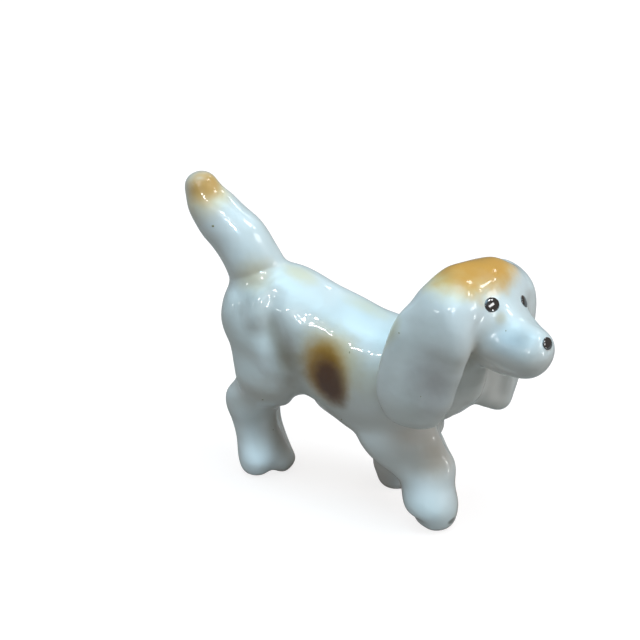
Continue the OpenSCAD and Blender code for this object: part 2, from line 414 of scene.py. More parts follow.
    def relax(self, points: np.ndarray, quads: np.ndarray, rounds: int = 2) -> np.ndarray:
        """Evens out a net of faces while it stays on the surface.

        Args:
            points: points of the net.
            quads: its faces.
            rounds: how often it is evened.

        Returns:
            The moved points.
        """
        for _ in range(rounds):
            total = np.zeros_like(points)
            count = np.zeros(len(points))
            for i in range(4):
                for j in (1, 3):
                    np.add.at(total, quads[:, i], points[quads[:, (i + j) % 4]])
                    np.add.at(count, quads[:, i], 1)
            points = self.settle(0.5 * points + 0.5 * total / count[:, None], rounds=2)
        return points

    def surface(self) -> tuple[np.ndarray, np.ndarray]:
        """Draws the skin of the clay.

        Returns:
            Points and triangles of the largest closed skin.
        """
        grid = openvdb.FloatGrid(self.band)
        grid.copyFromArray(np.ascontiguousarray(self.depth), ijk=tuple(self.low.tolist()))
        grid.transform = openvdb.createLinearTransform(voxelSize=self.cell)
        grid.gridClass = openvdb.GridClass.LEVEL_SET
        points, quads = grid.convertToQuads(0.0)
        points, quads = points.astype(float), quads.astype(int)
        # Each point takes the least label of its faces until nothing changes: one label for each skin
        label, before = np.arange(len(points)), None
        while before is None or (label != before).any():
            before, least = label, label[quads].min(axis=1)
            label = before.copy()
            for i in range(4):
                np.minimum.at(label, quads[:, i], least)
            label = label[label]
        skins, counts = np.unique(label, return_counts=True)
        quads = quads[label[quads[:, 0]] == skins[counts.argmax()]]
        used, back = np.unique(quads, return_inverse=True)
        quads = back.reshape(quads.shape)
        points = self.relax(points[used], quads)
        triangles = np.vstack([quads[:, [0, 1, 2]], quads[:, [0, 2, 3]]])
        a, b, c = (points[triangles[:, i]] for i in range(3))
        return points, triangles[:, ::-1] if (a * np.cross(b, c)).sum() < 0 else triangles

    def heart(self, rim: np.ndarray) -> np.ndarray:
        """Finds a place from which straight ways to all of a rim stay inside the clay.

        Args:
            rim: points of the rim.

        Returns:
            The place, or the best one tried.
        """
        tries, most_ways, margin, good_enough, least_reach = 400, 160, 0.05, 0.5, 0.8
        chance = np.random.default_rng(seed=11)
        best, least = rim.mean(axis=0), math.inf
        places = np.vstack([best, best + chance.normal(size=(tries, 3)) * (rim.std(axis=0) + least_reach)])
        ends = rim[:: max(len(rim) // most_ways, 1)]
        share = np.array([0.1, 0.2, 0.35, 0.5, 0.7, 0.85, 1.0])[None, :, None]
        for place in places:
            ways = (ends[:, None] + (place - ends)[:, None] * share).reshape(-1, 3)
            outside = float(np.maximum(self.read(self.depth, ways) + margin, 0.0).sum())
            if outside < least:
                best, least = place, outside
            if least < good_enough:
                break
        log.info("rim of %d points: ways leave the clay by %.1f mm in all", len(rim), least)
        return best


@dataclass
class SkinPiece:
    """The glazed skin of one part, with the joined skin's direction and hollow at each point."""

    name: str
    points: np.ndarray
    triangles: np.ndarray
    normals: np.ndarray
    pooling_and_shade: np.ndarray

    def rims(self) -> list[list[int]]:
        """Finds the open rims.

        Returns:
            The rims, each as a ring of points.
        """
        edges = {edge for x, y, z in self.triangles.tolist() for edge in ((x, y), (y, z), (z, x))}
        onward = {}
        for start, end in edges:
            if (end, start) not in edges:
                onward.setdefault(start, []).append(end)
        rings = []
        while onward:
            ring, here = [], next(iter(onward))
            while here in onward:
                ring.append(here)
                after = onward[here].pop()
                if not onward[here]:
                    del onward[here]
                here = after
            if len(ring) > 2:
                rings.append(ring)
        return rings

    def close(self, clay: Clay) -> None:
        """Closes the open rims with faces that stay inside the joints.

        Args:
            clay: block that the skin was drawn from.
        """
        sink = 0.8
        for ring in self.rims():
            first, count = len(self.points), len(ring)
            loop = self.points[ring]
            sunk = loop - self.normals[ring] * sink
            middle, hub = clay.heart(sunk), first + 2 * count
            facing = np.cross(loop - middle, np.roll(loop, -1, axis=0) - middle).sum(axis=0)
            facing = -facing / max(np.linalg.norm(facing), 1e-9)
            faces = []
            for i in range(count):
                here, after = first + i, first + (i + 1) % count
                faces += [[after, here, here + count], [after, here + count, after + count]]
                faces.append([after + count, here + count, hub])
            self.points = np.vstack([self.points, loop, sunk, middle])
            self.triangles = np.vstack([self.triangles, faces])
            self.normals = np.vstack([self.normals, np.tile(facing, (2 * count + 1, 1))])
            self.pooling_and_shade = np.concatenate([self.pooling_and_shade, np.zeros(2 * count + 1)])

    def make(self) -> bpy.types.Object:
        """Makes the piece's mesh object, at the origin.

        Returns:
            The object.
        """
        mesh = bpy.data.meshes.new(self.name)
        mesh.from_pydata((self.points * MM).tolist(), [], self.triangles.tolist())
        mesh.shade_smooth()
        mesh.normals_split_custom_set_from_vertices(self.normals.tolist())
        pooling_and_shade = mesh.attributes.new("pooling_and_shade", "FLOAT", "POINT")
        pooling_and_shade.data.foreach_set("value", self.pooling_and_shade.astype(np.float32))
        return put(self.name, mesh)


def cut_apart(clay: Clay, points: np.ndarray, triangles: np.ndarray) -> list[SkinPiece]:
    """Cuts the joined skin along the lines where two parts are equally near.

    Args:
        clay: block that the skin was drawn from.
        points: points of the skin.
        triangles: triangles of the skin.

    Returns:
        One closed piece for each part.
    """
    vote_rounds, majority, least_share = 6, 0.7, 0.08
    names = list(clay.parts)
    near = np.stack([clay.read(clay.parts[n], points) for n in names], axis=1)
    owner = near.argmin(axis=1)
    for _ in range(vote_rounds):
        votes = np.zeros_like(near)
        for i in range(3):
            for j in (1, 2):
                np.add.at(votes, (triangles[:, i], owner[triangles[:, (i + j) % 3]]), 1)
        clear = votes.max(axis=1) > votes.sum(axis=1) * majority
        owner = np.where(clear, votes.argmax(axis=1), owner)
    extra, cuts = [], {}

    def cut(a: int, b: int) -> int:
        """Gives the point where an edge crosses a joint.

        Args:
            a: one end of the edge.
            b: its other end.

        Returns:
            Number of the point.
        """
        key = (min(a, b), max(a, b))
        if key not in cuts:
            a, b = key
            here = near[a, owner[a]] - near[a, owner[b]]
            there = near[b, owner[a]] - near[b, owner[b]]
            share = here / (here - there) if here < 0 < there else 0.5
            share = min(max(share, least_share), 1 - least_share)
            cuts[key] = len(points) + len(extra)
            extra.append(points[a] * (1 - share) + points[b] * share)
        return cuts[key]

    kinds = owner[triangles]
    mixed = (kinds[:, 0] != kinds[:, 1]) | (kinds[:, 1] != kinds[:, 2])
    bins = [[triangles[~mixed & (kinds[:, 0] == k)]] for k in range(len(names))]
    for corners in triangles[mixed].tolist():
        kind = [int(owner[v]) for v in corners]
        if len(set(kind)) == 3:
            middle = len(points) + len(extra)
            extra.append(points[corners].mean(axis=0))
            for i in range(3):
                v, after, before = (corners[(i + j) % 3] for j in range(3))
                bins[kind[i]].append([[v, cut(v, after), middle], [v, middle, cut(v, before)]])
            continue
        odd = next(i for i in range(3) if kind.count(kind[i]) == 1)
        v, after, before = (corners[(odd + j) % 3] for j in range(3))
        one, two = cut(v, after), cut(v, before)
        bins[kind[odd]].append([[v, one, two]])
        bins[kind[(odd + 1) % 3]].append([[one, after, before], [one, before, two]])
    points = np.vstack([points, clay.settle(np.array(extra), rounds=2)]) if extra else points
    slope = clay.slope(points)
    normals = slope / np.maximum(np.linalg.norm(slope, axis=1), 1e-6)[:, None]
    pooling_and_shade = clay.read(clay.hollow, points)
    pieces = []
    for name, own in zip(names, bins):
        used, back = np.unique(np.vstack([np.reshape(t, (-1, 3)) for t in own]), return_inverse=True)
        pieces.append(SkinPiece(name, points[used], back.reshape(-1, 3), normals[used], pooling_and_shade[used]))
        pieces[-1].close(clay)
    return pieces


def fill(tree: Tree, node: bpy.types.Node, inputs: dict) -> None:
    """Sets or links a node's inputs.

    Args:
        tree: tree that holds the node.
        node: the node.
        inputs: for the name or number of an input, its value or the socket that is linked to it.
    """
    for key, value in inputs.items():
        if isinstance(value, Socket):
            tree.links.new(value, node.inputs[key])
        else:
            node.inputs[key].default_value = value


def add(tree: Tree, kind: str, inputs: dict | None = None, **properties: object) -> bpy.types.Node:
    """Adds a node to a tree, at the next place of a grid in the editor.

    Args:
        tree: tree that gets the node.
        kind: Blender's name for the node's type.
        inputs: what goes into its inputs, as for fill.
        properties: properties of the node.

    Returns:
        The new node.
    """
    columns, across, down = 8, 220, 340
    row, column = divmod(len(tree.nodes), columns)
    node = tree.nodes.new(kind)
    node.location = (column * across, -row * down)
    for name, value in properties.items():
        setattr(node, name, value)
    fill(tree, node, inputs or {})
    return node


def compute(tree: Tree, operation: str, *values: object) -> Socket:
    """Adds a Math node over numbers or sockets, and returns its result."""
    return add(tree, "ShaderNodeMath", dict(enumerate(values)), operation=operation).outputs[0]


def noise(tree: Tree, place: Socket, size: float, detail: float = 2.0, roughness: float = 0.5) -> Socket:
    """Adds soft noise.

    Args:
        tree: tree that gets the node.
        place: coordinates, in metres.
        size: size of its blots.
        detail: number of finer layers.
        roughness: strength of the finer layers.

    Returns:
        Socket with values round a half.
    """
    inputs = {"Vector": place, "Scale": 1 / (size * MM), "Detail": detail, "Roughness": roughness}
    return add(tree, "ShaderNodeTexNoise", inputs).outputs["Fac"]


def blend(tree: Tree, share: Socket, under: object, over: object) -> Socket:
    """Mixes two colours, each a socket or four numbers, by the share of the upper one."""
    return add(tree, "ShaderNodeMix", {0: share, 6: under, 7: over}, data_type="RGBA").outputs[2]


def new_material(name: str) -> tuple[bpy.types.Material, Tree, bpy.types.Node, Socket]:
    """Makes a material.

    Args:
        name: name of the material.

    Returns:
        The material, its tree, its shader and the object's coordinates in metres.
    """
    material = bpy.data.materials.new(name)
    material.use_nodes = True
    tree = material.node_tree
    place = add(tree, "ShaderNodeTexCoord").outputs["Object"]
    return material, tree, tree.nodes["Principled BSDF"], place


@dataclass(frozen=True)
class Spray:
    """One soft patch of colour under the glaze. Most are airbrushed stains; the shade sprays are painted
    shade.
    """

    name: str
    place: Point
    reach: Point
    colour: str
    strength: float
    core: float
    ragged: float
    turn: Point = (0, 0, 0)

    def share(self, tree: Tree, place: Socket, wander: Socket) -> Socket:
        """Builds the soft-edged share of the patch.

        Args:
            tree: material's tree.
            place: object coordinates, in metres.
            wander: noise that makes the patch's edge uneven.

        Returns:
            Socket that is its strength at the patch's core and zero outside it.
        """
        inward = add(tree, "ShaderNodeMapping", {
            "Vector": place,
            "Location": [v * MM for v in self.place],
            "Rotation": [math.radians(a) for a in self.turn],
            "Scale": [r * MM for r in self.reach],
        }, vector_type="TEXTURE", label=self.name).outputs[0]
        away = add(tree, "ShaderNodeVectorMath", {0: inward}, operation="LENGTH")
        uneven = compute(tree, "MULTIPLY_ADD", wander, self.ragged, away.outputs["Value"])
        return add(tree, "ShaderNodeMapRange", {
            "Value": uneven, "From Min": 1.0, "From Max": self.core, "To Max": self.strength,
        }, interpolation_type="SMOOTHSTEP").outputs[0]


@dataclass(frozen=True)
class GlazeFinish:
    """White porcelain under a clear glaze, with stains and painted shade sprayed under it, darker in its
    hollows.
    """

    white: str = "#ebecea"
    shade: str = "#dcdfdc"
    pooled_and_shaded: str = "#a39780"
    rough: float = 0.3
    sprays: tuple[Spray, ...] = ()

    def build(self, name: str) -> bpy.types.Material:
        """Builds the material.

        Args:
            name: name of the material.

        Returns:
            The material.
        """
        material, tree, shader, place = new_material(name)
        # Wander of the airbrush: soft blots 4 mm across, centred on zero
        blots = noise(tree, place, 4, detail=3.0, roughness=0.55)
        wander = compute(tree, "SUBTRACT", blots, 0.5)
        # Body colour: the glaze lies unevenly, in clouds 14 mm across
        clouds = noise(tree, place, 14)
        uneven = add(tree, "ShaderNodeMapRange", {"Value": clouds, "From Min": 0.45, "From Max": 0.75})
        colour = blend(tree, uneven.outputs[0], linear(self.white), linear(self.shade))
        # Darker in the hollows: glaze that pooled there, and painted shade where the creases fall into
        # shadow
        pooling_and_shade = add(tree, "ShaderNodeAttribute", attribute_name="pooling_and_shade").outputs["Fac"]
        pooled_and_shaded = add(tree, "ShaderNodeMapRange", {
            "Value": pooling_and_shade, "From Min": 0.12, "From Max": 0.9, "To Max": 0.5,
        }, interpolation_type="SMOOTHSTEP")
        colour = blend(tree, pooled_and_shaded.outputs[0], colour, linear(self.pooled_and_shaded))
        for spray in self.sprays:
            share = spray.share(tree, place, wander)
            colour = blend(tree, share, colour, linear(spray.colour))
        # The fired glaze ripples in waves about 3 mm long, which breaks its highlights into sparks
        waves = noise(tree, place, 2.8, detail=1.0)
        ripple = {"Height": waves, "Strength": 1.0, "Distance": 0.14 * MM}
        bump = add(tree, "ShaderNodeBump", ripple).outputs["Normal"]
        fill(tree, shader, {
            "Base Color": colour, "Normal": bump, "Roughness": self.rough, "IOR": 1.5,
            "Coat Normal": bump, "Coat Weight": 1.0, "Coat Roughness": 0.05,
        })
        return material


@dataclass(frozen=True)
class EnamelFinish:
    """Black enamel of the eyes and nose, fired on as a thick drop."""

    black: str = "#0d1116"
    worn: str = "#2a3038"
    rough: float = 0.12

    def build(self, name: str) -> bpy.types.Material:
        """Builds the material.

        Args:
            name: name of the material.

        Returns:
            The material.
        """
        material, tree, shader, place = new_material(name)
        # Black enamel: brush marks 0.7 mm across, under a hard shine
        marks = noise(tree, place, 0.7)
        ripple = {"Height": marks, "Strength": 0.6, "Distance": 0.02 * MM}
        bump = add(tree, "ShaderNodeBump", ripple).outputs["Normal"]
        fill(tree, shader, {
            "Base Color": blend(tree, marks, linear(self.black), linear(self.worn)),
            "Normal": bump, "Roughness": self.rough,
            "Coat Weight": 1.0, "Coat Roughness": 0.05, "Coat IOR": 2.3,
        })
        return material


@dataclass(frozen=True)
class SpeckFinish:
    """Iron that came through the glaze."""

    dark: str = "#76714f"
    light: str = "#a8a27c"
    rough: float = 0.35

    def build(self, name: str) -> bpy.types.Material:
        """Builds the material.

        Args:
            name: name of the material.

        Returns:
            The material.
        """
        material, tree, shader, place = new_material(name)
        # Iron speck: dull olive brown, a little darker in places 0.5 mm across
        stain = noise(tree, place, 0.5)
        colour = blend(tree, stain, linear(self.dark), linear(self.light))
        fill(tree, shader, {"Base Color": colour, "Roughness": self.rough, "Coat Weight": 0.6})
        return material


@dataclass(frozen=True)
class Form:
    """What the hands add to the clay of one sub-assembly."""

    rolls: tuple[Roll, ...] = ()
    fillets: tuple[Fillet, ...] = ()
    strokes: tuple[Stroke, ...] = ()


@dataclass(frozen=True)
class Torso(Form):
    """Hollow cast body, with the muscles of the rump and the flanks."""

    rolls: tuple[Roll, ...] = (
        # Vent hole, bored up into the belly
        Roll(((-5.75, -0.3, 15), (-5.75, -0.3, 30)), (1.2, 1.2), 0.3, taken=True),
        # Folds of the near haunch, and of the far one
        Roll(
            ((-25.3, -5.2, 30.5), (-21.8, -7, 28.5), (-17, -7.3, 26.5), (-14.5, -5.8, 25.2)),
            (2.5, 2.6, 2.6, 2.2), 4,
        ),
        Roll(((-25, -6.2, 30), (-23, -7, 27.5), (-20.5, -7.2, 25.5)), (2.4, 2.5, 2.5), 4),
        Roll(
            ((-25.3, 4.6, 30.5), (-21.8, 6.4, 28.5), (-17, 6.7, 26.5), (-14.5, 5.2, 25.2)),
            (2.5, 2.6, 2.6, 2.2), 4,
        ),
    )
    # Slip where the haunches run on into the legs
    fillets: tuple[Fillet, ...] = (
        Fillet(((-25, -8, 29), (-20, -9.5, 27), (-14.5, -8.5, 24.5)), 5, 1.6),
        Fillet(((-23.5, 8, 29), (-19, 9, 27), (-14, 8, 24.5)), 5, 1.6),
    )
    strokes: tuple[Stroke, ...] = (
        # Back line
        Stroke(((-17, 1.6, 48.5), (-8.8, 2.2, 45.5), (-2.4, 2.9, 42.9)), 6.5, 0.6),
        Stroke(((-2.4, 2.9, 42.9), (4, 2.9, 41.6)), 7, 0.75),
        # Lobes of the rump with furrows between them, on both sides
        Stroke(((-28.2, -4.5, 43), (-28, -6.5, 39.5), (-27.4, -7.4, 37)), 4.6, 0.7),
        Stroke(((-26.3, -7.3, 43.2), (-26.2, -8.2, 40.6)), 3.2, 0.6),
        Stroke(((-23.2, -7.2, 44.8), (-23, -8.8, 40.6)), 2.4, -0.7),
        Stroke(((-20.6, -7.9, 44.2), (-20.4, -9, 41.4)), 3.2, 0.7),
        Stroke(((-17.4, -7.2, 45), (-16.6, -8.3, 42)), 2.6, -0.5),
        Stroke(((-22, -10.2, 38.4), (-19.5, -10.2, 38.8)), 3, -0.3),
        Stroke(((-28.2, 3.9, 43), (-28, 5.9, 39.5), (-27.2, 7, 35.5)), 5, 0.5),
        Stroke(((-23.2, 6.6, 44.8), (-23, 8.2, 41)), 2.4, -0.4),
        Stroke(((-20.6, 7.3, 44.2), (-20.4, 8.4, 41.2)), 3.2, 0.4),
        # Muscle of the thigh, and the valley before it
        Stroke(((-18.2, -10.8, 35), (-16.9, -10.8, 31)), 3.1, 1),
        Stroke(((-16.2, -9.2, 40), (-14.4, -9.8, 36), (-14, -9.9, 33.5)), 3.6, -1.1),
        Stroke(((-18.7, 10.2, 36.3), (-17.5, 10.2, 32.6)), 3.4, 0.65),
        Stroke(((-16.2, 8.6, 40), (-14.4, 9.2, 36), (-13.6, 9.3, 33.5)), 3.6, -0.75),
        # Flank behind the ribs
        Stroke(((-13.6, -8.2, 43), (-11.6, -9, 40.6)), 3.6, 0.3),
        # Fold round the root of the tail
        Stroke(((-22.6, -7.3, 45), (-19.5, -6.6, 46.2), (-17.8, -4.6, 47.8), (-17.3, -1.4, 49)), 2.8, 0.5),
        # Waist in front of the hind legs
        Stroke(((-11.8, -6.3, 23.3), (-8, -6, 21.8)), 4, -0.6),
    )


@dataclass(frozen=True)
class Head(Form):
    """Skull, muzzle and neck."""

    # Near cheek, the throat's front edge and the far cheek
    rolls: tuple[Roll, ...] = (
        Roll(((25.5, -7.4, 45.2), (30, -8.2, 44.9), (34, -8.4, 44.8)), (2.5, 2.6, 2.2), 3),
        Roll(((23.2, -3.8, 34), (22.5, -3, 30.8)), (2, 2), 2.5),
        Roll(((29.1, 0.9, 45.2), (32.5, -2.4, 44.9), (35, -5.8, 44.8)), (2.4, 2.4, 2), 3),
    )
    # Slip between the neck and the body
    fillets: tuple[Fillet, ...] = (
        Fillet(((16, -0.3, 44), (18, 5, 34), (18.5, -0.3, 20)), 13, 0.9),
    )
    strokes: tuple[Stroke, ...] = (
        # Bridge of the muzzle, and its flatter side under it
        Stroke(((30, -5.2, 50.6), (32.2, -5.8, 49.6), (34.2, -6.8, 49.1), (35.8, -7.6, 48.6)), 2.4, 0.5),
        Stroke(((29.4, -9.4, 48.8), (31.6, -9.8, 48.2), (34, -10.4, 47.4)), 2.8, -0.55),
        # Pocket between the cheek and the ear
        Stroke(((25, -10.9, 47.8), (24.9, -10.6, 45), (24.4, -9.6, 42.2)), 2, -0.8),
        # Crease of the mouth's corner under the cheek
        Stroke(((25.5, -9.4, 42), (28.5, -9.6, 41.2)), 2, -0.4),
    )


@dataclass(frozen=True)
class Ears(Form):
    """Two long hanging ears."""

    # Roots of the near ear and the far one, then the far ear's full edge
    rolls: tuple[Roll, ...] = (
        Roll(
            ((17, -5.5, 53.2), (18, -4, 53.6), (21, -6.4, 52.8), (23, -7.6, 50.5), (24, -8.2, 47.5)),
            (2.6, 3, 3.2, 3, 2), 2.5,
        ),
        Roll(
            ((23.5, 4, 53), (26.5, 4, 52.3), (28.3, 4.3, 50), (28.8, 4.3, 46.5)),
            (2.6, 2.6, 2.2, 1.6), 2.5,
        ),
        Roll(((28.4, 7, 37), (28.2, 6.6, 32.5), (27.3, 6, 28.2), (26, 5.3, 26.9)), (2, 2.3, 2.4, 2.4), 2.5),
        Roll(
            ((25.2, 2.8, 36.5), (24.7, 1.9, 32), (24.3, 1.6, 27.1), (26.8, 3.8, 26.3)),
            (2, 2, 1.9, 1.9), 2,
        ),
        # Pressed out: at the chest under the near ear, and before the far ear
        Roll(((20.4, -3.1, 22.5), (22.6, -4, 24.6), (23.9, -3.7, 25.6)), (2.4, 2.4, 2.3), 1, taken=True),
        Roll(((32.3, 4.8, 31.5), (32.5, 5.7, 29.7), (32, 5.4, 27.5)), (2.9, 3, 2.9), 1, taken=True),
    )
    # Slip between the ears and the skull
    fillets: tuple[Fillet, ...] = (
        Fillet(((17, -8, 56), (23, -9.5, 53.5), (24.5, -10, 49)), 7, 1),
        Fillet(((24, 8, 52), (28, 6, 50)), 6, 1),
    )
    strokes: tuple[Stroke, ...] = (
        # The near ear bulges along its middle, and its back edge is drawn in at the top
        Stroke(((19.5, -13, 50.5), (18.4, -14.4, 45), (16.6, -14.8, 39), (14.6, -14.9, 33)), 6.5, 0.55),
        Stroke(((12.2, -11.4, 52.5), (11.3, -12.2, 50)), 5, -0.9),
        # The roots of both ears run smoothly into the skull
        Stroke(((11, -9.6, 52.8), (13.2, -8.2, 55), (15.6, -7, 56.6)), 4.4, -1.15),
        Stroke(((18.2, -4.2, 57.1), (19.6, -2, 57)), 3.6, 0.5),
        Stroke(((24.6, 3, 56.5), (27, 3.6, 55.4), (29, 3, 53.6), (29.9, 2.8, 51.6)), 3.4, 0.5),
        # Rim along the near ear's free edge
        Stroke(((23.2, -13.1, 39.6), (22.2, -13.4, 36), (21.4, -13.6, 33), (19.6, -14, 30.2)), 1.7, 0.35),
        # Its front edge swells, and the middle below is pressed flat
        Stroke(((20.6, -12.4, 52), (22.6, -13.4, 48), (23.2, -13.7, 44.5)), 3.6, 0.8),
        Stroke(((19.6, -14.6, 42), (19.8, -14.9, 37)), 5, -0.5),
        Stroke(((31.7, 4.4, 48.8), (32.2, 4.3, 45.1)), 4, -0.4),
    )


@dataclass(frozen=True)
class Tail(Form):
    """Raised tail."""

    # Slip at the tail's root
    fillets: tuple[Fillet, ...] = (
        Fillet(((-27.5, -0.3, 45), (-24.5, -5.5, 46)), 6.5, 1.2),
        Fillet(((-23.6, -5.4, 47.8), (-21.6, -4.9, 48.6), (-19.4, -3, 49.5)), 4.5, 1.6),
    )
    strokes: tuple[Stroke, ...] = (
        Stroke(((-35, -4.3, 59.9), (-33.2, -4.6, 56.5)), 4.5, 0.55),
        Stroke(((-33.1, 0.4, 65.2), (-31, 1.3, 62.6)), 3, 0.45),
        Stroke(((-36.7, -2.5, 65.3),), 3, 0.3),
        Stroke(((-26.8, 1.5, 60),), 4, -0.35),
        Stroke(((-30.5, -4, 52), (-29.8, -3.6, 48.5)), 4, -0.45),
    )


@dataclass(frozen=True)
class Legs(Form):
    """Four legs, ground flat at the soles."""

    # Web between the hind legs, the hock, the toes of the far hind paw, and the groin
    rolls: tuple[Roll, ...] = (
        Roll(
            ((-19.8, -1, 24), (-20.8, -1.4, 16), (-21.3, -1.8, 9), (-21.4, -2, 5)),
            (2.8, 2.4, 2.4, 2.2), 4,
        ),
        Roll(((-26.5, -5.5, 20.5), (-25.8, -5.2, 18)), (2.2, 2), 3),
        Roll(((-18.9, -0.6, 2.2), (-18.6, 1, 3)), (2.2, 2.3), 1.2),
        Roll(((-15.6, -4.6, 23.4), (-13.8, -4.6, 24.2)), (2.4, 1.8), 2.5),
        # Pressed out: before the far shin, between the hind paws, under the groin, behind the near thigh
        # twice, above the hock, and at the chest by the foreleg
        Roll(
            ((-15.6, 2.1, 16), (-15.3, 2.3, 14), (-15.2, 4.3, 11.3), (-14.4, 5.1, 7.5)),
            (5.3, 5.5, 5.5, 5.2), 1.2, taken=True,
        ),
        Roll(((-19.1, -5.2, 1.6), (-20.4, -2, -0.2)), (1.2, 1.2), 0.6, taken=True),
        Roll(((-10.9, -7.3, 22.4), (-13.1, -1.9, 19.3)), (2.2, 2.2), 1.5, taken=True),
        Roll(
            ((-32.6, -7.5, 34.4), (-32.2, -7.3, 31.8), (-31.7, -7.4, 30.1), (-31.5, -8.1, 28.4)),
            (4.5, 4.7, 4.7, 4.4), 1, taken=True,
        ),
        Roll(
            ((-31.3, -10.8, 36), (-30.9, -10.6, 33.5), (-30.4, -10.7, 31.8), (-30.2, -11.4, 30)),
            (4.7, 4.9, 4.9, 4.6), 1.5, taken=True,
        ),
        Roll(((-27.8, -7.3, 27.4), (-27.6, -7.1, 25.4)), (2, 2), 3, taken=True),
        Roll(
            ((18.4, -3.1, 22.2), (19.1, -2.8, 20.5), (20.5, -2.5, 18.2)),
            (2.2, 2.6, 2.6), 1.2, taken=True,
        ),
    )
    # Slip between the legs and the body
    fillets: tuple[Fillet, ...] = (
        Fillet(((-20, -5, 26), (-14, -5, 26)), 9, 1),
        Fillet(((-20, 5, 26), (-14, 5, 26)), 9, 1),
        Fillet(((5, -5, 20), (14, -5, 20)), 8, 1),
        Fillet(((5, 5, 20), (14, 5, 20)), 8, 1),
    )
    strokes: tuple[Stroke, ...] = (
        # Hollow above the hock
        Stroke(((-26, -7.6, 28), (-24.8, -8.4, 25.4)), 4, -0.6),
        # Near hind leg: a ridge down to the paw, and the paw's swell
        Stroke(((-24.7, -6.5, 17), (-24.2, -6.3, 12.3), (-23.4, -6.2, 8.5)), 2.8, 0.6),
        Stroke(((-22.9, -6.4, 5.8), (-22.3, -6.2, 4.8)), 4.2, 0.9),
        # Back of the near hind paw
        Stroke(((-25.5, -6, 11.8), (-26.3, -5.3, 6.2), (-25.9, -5.3, 3.2)), 3.6, 0.45),
        # Shin of the far hind leg
        Stroke(((-17.4, 3.8, 8), (-16.8, 4, 5)), 4.2, -0.6),
        # Near upper arm
        Stroke(((-0.8, -6.5, 19.3), (3, -7.4, 17.6), (6, -8, 16)), 4.6, 0.7),
        # Near front paw: the foot stands forward of the shin
        Stroke(((15.2, -11.2, 7.2), (18.6, -10.5, 7)), 5.5, 1.1),
        Stroke(((14.2, -10.2, 15.5), (17.8, -8.6, 16.5)), 5, -0.8),
        Stroke(((12.4, -9.4, 7.2), (13.4, -10, 5.4)), 3, 0.4),
        Stroke(((15.2, -10.4, 1.2),), 4, -0.8),
        Stroke(((20.8, -6.1, 13.7), (21.6, -6.2, 6.8), (21.4, -7.9, 2.9)), 3.6, 0.4),
    )


@dataclass(frozen=True)
class Bead:
    """Domed drop of enamel over a packed bead. Its height, depth and foot are shares of its radius."""

    name: str
    spread: float
    stretch: float
    shift: Point
    height: float = 0.24
    sunk: float = 0.45
    foot: float = 0.55
    sides: int = 48
    rings: int = 12
    foot_rings: int = 5

    def build(self, clay: Clay, material: bpy.types.Material) -> bpy.types.Object:
        """Makes the drop: a dome with a rounded rim that dips into the glaze.

        Args:
            clay: block of the figure, whose surface carries the drop.
            material: enamel.

        Returns:
            The drop.
        """
        points, _ = part_mesh(self.name)
        middle = (points.min(axis=0) + points.max(axis=0)) / 2
        seat = clay.settle((middle + self.shift)[None, :].astype(float), rounds=4)[0]
        out = clay.slope(seat[None, :])[0]
        out /= np.linalg.norm(out)
        flat = (points - middle) - ((points - middle) @ out)[:, None] * out
        radius = np.linalg.norm(flat, axis=1).max() * self.spread
        mesh = self.dome(seat, out, radius)
        mesh.materials.append(material)
        return put(f"{self.name}_enamel", mesh)

    def dome(self, seat: np.ndarray, out: np.ndarray, radius: float) -> bpy.types.Mesh:
        """Makes the drop's mesh.

        Args:
            seat: middle of the drop on the surface.
            out: direction out of the surface.
            radius: radius of the drop, before it is stretched across and pressed together upwards.

        Returns:
            The mesh.
        """
        height, sunk = radius * self.height, radius * self.sunk
        across = np.cross(out, (0.0, 0.0, 1.0))
        across /= np.linalg.norm(across)
        up = np.cross(across, out) / math.sqrt(self.stretch)
        across = across * math.sqrt(self.stretch)
        quarters = [math.pi / 2 * i / self.rings for i in range(1, self.rings + 1)]
        rows = [(radius * math.sin(a), height * math.cos(a)) for a in quarters]
        quarters = [math.pi / 2 * i / self.foot_rings for i in range(1, self.foot_rings)]
        inset = 1 - self.foot
        rows += [(radius * (self.foot + inset * math.cos(a)), -sunk * math.sin(a)) for a in quarters]
        turns = [2 * math.pi * k / self.sides for k in range(self.sides)]
        points = [seat + out * height]
        for r, z in rows:
            points += [seat + across * r * math.cos(a) + up * r * math.sin(a) + out * z for a in turns]
        points.append(seat - out * sunk)
        pairs = [(k, (k + 1) % self.sides) for k in range(self.sides)]
        faces = [(1 + k, 1 + after, 0) for k, after in pairs]
        for first in range(1, 1 + (len(rows) - 1) * self.sides, self.sides):
            for k, after in pairs:
                a, b = first + k, first + after
                faces.append((a, a + self.sides, b + self.sides, b))
        last = len(points) - 1 - self.sides
        faces += [(last + k, len(points) - 1, last + after) for k, after in pairs]
        mesh = bpy.data.meshes.new(self.name)
        mesh.from_pydata([tuple(p * MM) for p in points], [], faces)
        mesh.shade_smooth()
        return mesh


BEADS = (
    Bead("right_eye", 1, 1.22, (-0.1, 0.1, -0.3)),
    Bead("left_eye", 0.82, 1, (0.4, -1.2, -0.6)),
    Bead("nose", 0.84, 1.2, (0, 0, -0.2)),
)


